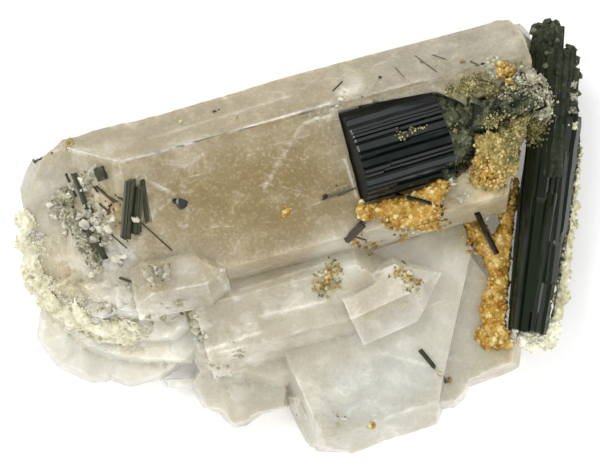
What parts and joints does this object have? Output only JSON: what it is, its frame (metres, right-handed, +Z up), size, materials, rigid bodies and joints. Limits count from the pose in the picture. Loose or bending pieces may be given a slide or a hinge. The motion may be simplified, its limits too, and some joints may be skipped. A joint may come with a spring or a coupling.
{
  "type": "quartz specimen with elbaite prisms",
  "caption": "Intergrown quartz crystals lying flat, with dark green elbaite prisms across the top and one end and crusts of small grains between them.",
  "frame": {"origin": "on the surface that the specimen lies on, below the middle of its outline", "axes": "+X along the specimen's longest side towards the elbaite end, +Y across it towards the main crystal's outer edge, +Z up, away from the surface"},
  "size_m": [0.1146, 0.0872, 0.0352],
  "materials": {
    "quartz": "natural crystal faces, milky and slightly smoky",
    "elbaite": "vitreous, striated lengthwise",
    "crust_orange": "rough, fine grained",
    "crust_yellow": "rough, fine grained",
    "crust_cream": "rough, fine grained"
  },
  "bodies": {
    "root": {"quartz_cluster": "quartz", "elbaite_short_prism": "elbaite", "elbaite_long_prism": "elbaite", "elbaite_end_blocks": "elbaite", "elbaite_left_pair": "elbaite", "elbaite_left_blade": "elbaite", "elbaite_left_block": "elbaite", "elbaite_left_rod": "elbaite", "elbaite_edge_stub": "elbaite", "elbaite_side_rod": "elbaite", "elbaite_upper_rod": "elbaite", "elbaite_plate_needle": "elbaite", "black_crystal": "elbaite", "crust_under_prism": "crust_orange", "crust_orange_bridge": "crust_orange", "crust_end_yellow": "crust_yellow", "crust_end_ridge": "crust_cream", "crust_foot": "crust_cream", "crust_right_side": "crust_cream", "crust_left_rim": "crust_cream", "crust_left_hollow": "crust_cream"}
  },
  "joints": []
}
